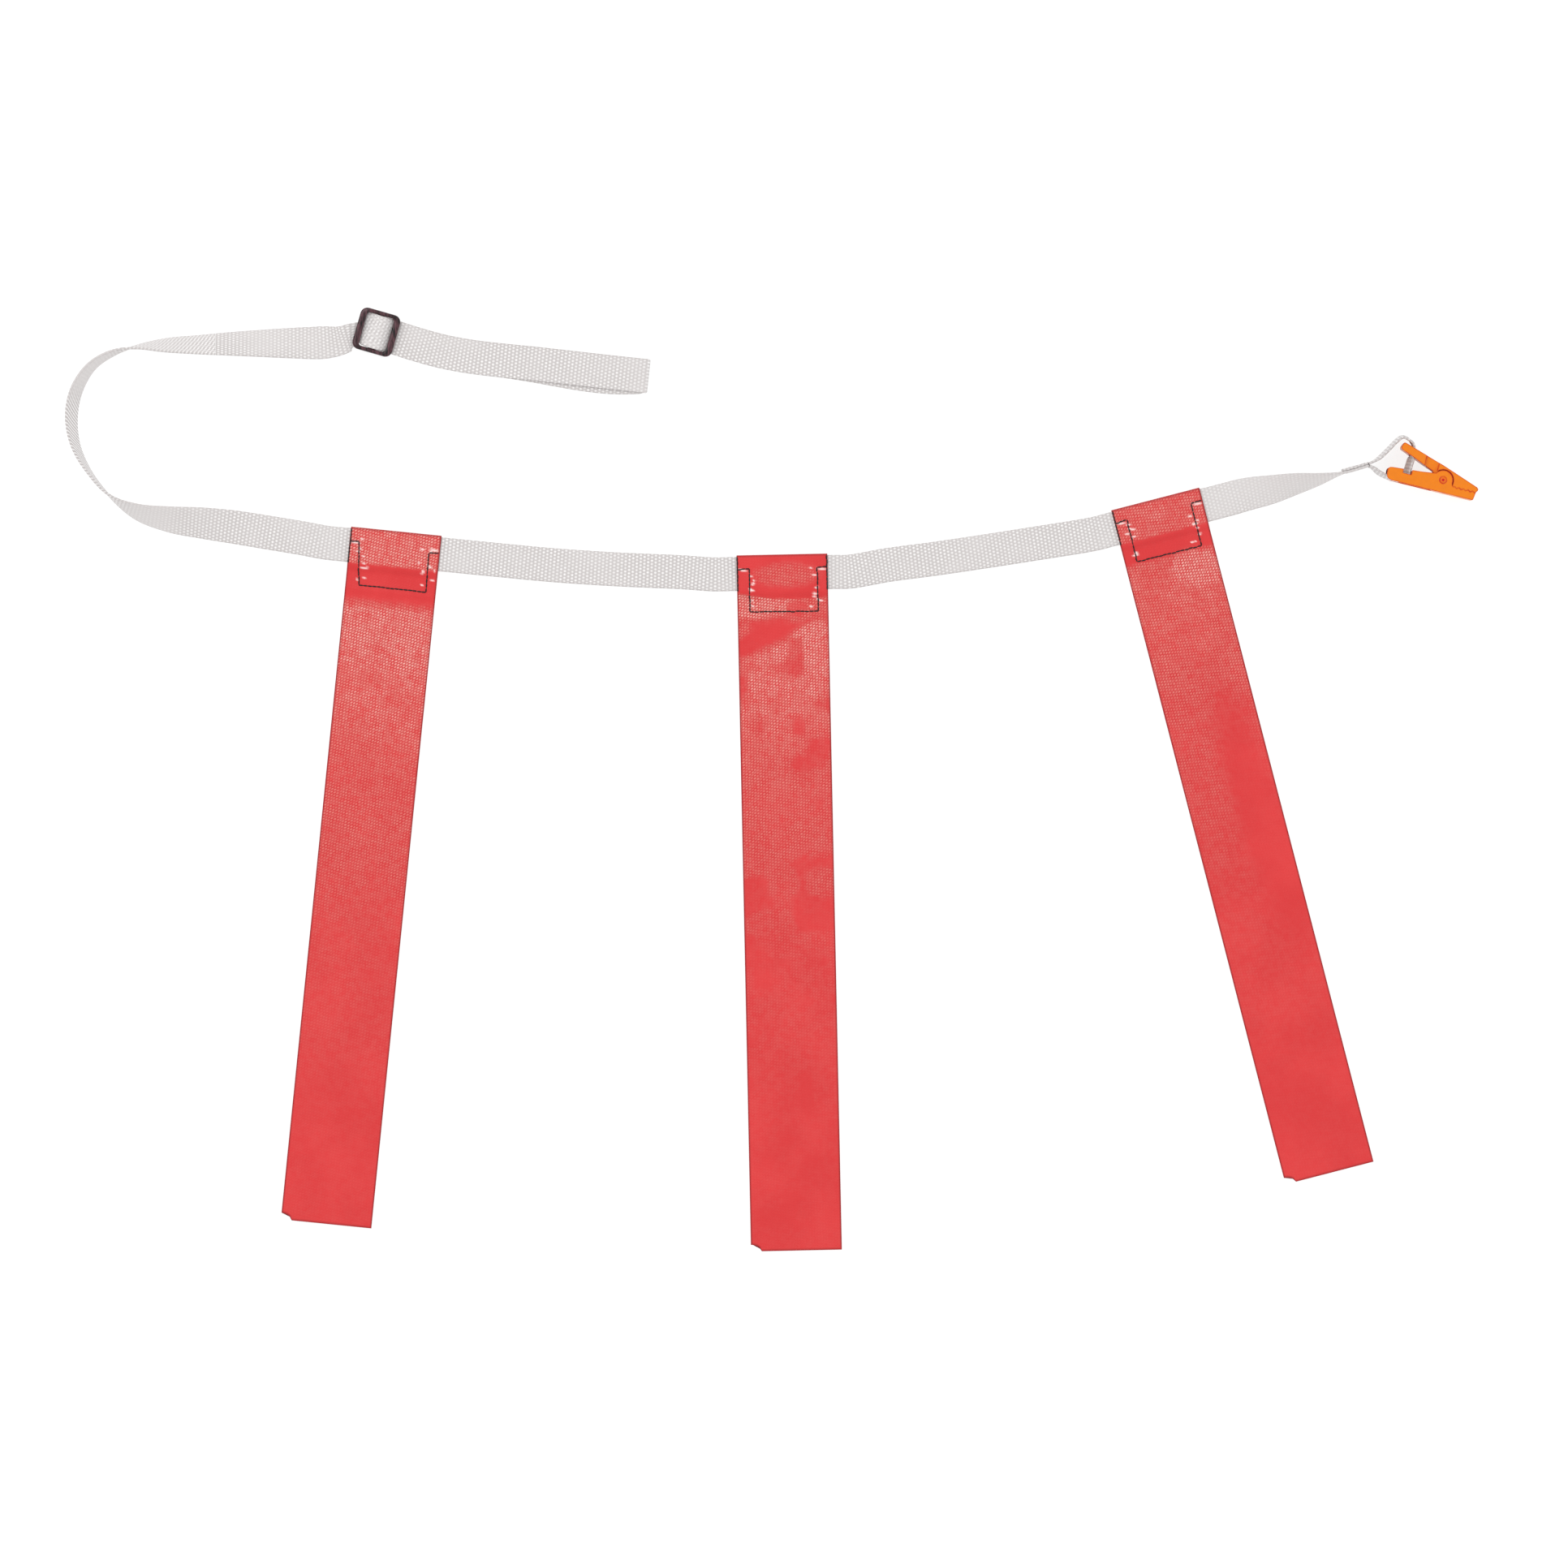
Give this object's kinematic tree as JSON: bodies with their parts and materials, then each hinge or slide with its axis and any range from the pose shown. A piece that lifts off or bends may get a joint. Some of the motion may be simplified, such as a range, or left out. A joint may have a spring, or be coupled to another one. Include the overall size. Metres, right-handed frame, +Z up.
{
  "type": "flag football belt",
  "caption": "Flag football belt laid flat: white webbing with red hanging flags sewn on, a plastic adjusting slide and an orange spring clip.",
  "frame": {"origin": "centre of the belt's outline as it lies flat, on the surface it lies on", "axes": "+X along the belt towards the spring clip, -Y the way the flags hang, +Z up off the surface"},
  "size_m": [0.7891, 0.5271, 0.023],
  "materials": {
    "webbing": "woven polypropylene webbing, matt",
    "flag_cloth": "vinyl coated weave, semi-gloss",
    "thread": "black polyester thread",
    "slide_plastic": "moulded, satin",
    "clip_plastic": "moulded, satin",
    "pin_plastic": "moulded, satin",
    "spring_steel": "drawn wire"
  },
  "bodies": {
    "belt_center": {"webbing_center_run": "webbing", "flag_2_sleeve": "flag_cloth", "flag_2_stitching": "thread"},
    "belt_left": {"webbing_left_run": "webbing", "webbing_left_bend": "webbing", "webbing_bend_flex": "webbing", "flag_1_sleeve": "flag_cloth", "flag_1_stitching": "thread"},
    "belt_right": {"webbing_right_run": "webbing", "webbing_sewn_end": "webbing", "clip_loop_stitching": "thread", "flag_3_sleeve": "flag_cloth", "flag_3_stitching": "thread"},
    "belt_tail": {"webbing_top_bend": "webbing", "webbing_feed": "webbing"},
    "slide": {"slide_frame": "slide_plastic", "webbing_threaded": "webbing", "webbing_anchor": "webbing", "slide_stitching": "thread", "webbing_tail_upper_feed": "webbing", "webbing_tail_lower_feed": "webbing"},
    "tail_fold": {"webbing_tail": "webbing"},
    "flag_1": {"flag_1_blade": "flag_cloth"},
    "flag_2": {"flag_2_blade": "flag_cloth"},
    "flag_3": {"flag_3_blade": "flag_cloth"},
    "clip_lower": {"clip_lower_lever": "clip_plastic", "clip_pin": "pin_plastic", "clip_spring": "spring_steel", "webbing_loop": "webbing"},
    "clip_upper": {"clip_upper_lever": "clip_plastic"}
  },
  "joints": [
    {"name": "belt_left_fold", "type": "hinge", "parent": "belt_center", "child": "belt_left", "pos_m": [-0.14516, 0.12212, 0.00151], "axis": [0.095, 0.9955, 0], "range_deg": [0, 30]},
    {"name": "belt_right_fold", "type": "hinge", "parent": "belt_center", "child": "belt_right", "pos_m": [0.14533, 0.13165, 0.00151], "axis": [0.1571, -0.9876, 0], "range_deg": [0, 30]},
    {"name": "flag_1_swing", "type": "hinge", "parent": "belt_left", "child": "flag_1", "pos_m": [-0.21235, 0.10796, 0.0012], "axis": [-0.9949, 0.1011, 0], "range_deg": [0, 150]},
    {"name": "flag_2_swing", "type": "hinge", "parent": "belt_center", "child": "flag_2", "pos_m": [0.00675, 0.09481, 0.0012], "axis": [-0.9998, -0.0209, 0], "range_deg": [0, 150]},
    {"name": "flag_3_swing", "type": "hinge", "parent": "belt_right", "child": "flag_3", "pos_m": [0.22241, 0.12679, 0.0012], "axis": [-0.9681, -0.2504, 0], "range_deg": [0, 150]},
    {"name": "tail_swing", "type": "hinge", "parent": "belt_left", "child": "belt_tail", "pos_m": [-0.3909, 0.20287, 0.0095], "axis": [0, 0, 1], "range_deg": [-12, 30], "deforming": ["webbing_bend_flex"]},
    {"name": "slide_travel", "type": "slide", "parent": "belt_tail", "child": "slide", "axis": [0.9877, -0.1564, 0], "range_m": [-0.02, 0.06], "deforming": ["webbing_feed"]},
    {"name": "tail_fold_travel", "type": "slide", "parent": "slide", "child": "tail_fold", "axis": [0.9877, -0.1564, 0], "range_m": [-0.031, 0.011], "deforming": ["webbing_tail_upper_feed", "webbing_tail_lower_feed"]},
    {"name": "clip_swing", "type": "hinge", "parent": "belt_right", "child": "clip_lower", "pos_m": [0.3337, 0.1752, 0.0115], "axis": [0, 0, 1], "range_deg": [-15, 15], "deforming": ["webbing_loop"]},
    {"name": "clip_jaw", "type": "hinge", "parent": "clip_lower", "child": "clip_upper", "pos_m": [0.3746, 0.1671, 0.0115], "axis": [0, 0, 1], "range_deg": [0, 16], "stiffness_Nm_per_rad": 0.15, "springref_deg": -22.92}
  ],
  "couplings": [
    {"joint": "tail_fold_travel", "follows": "slide_travel", "ratio": -0.5}
  ]
}
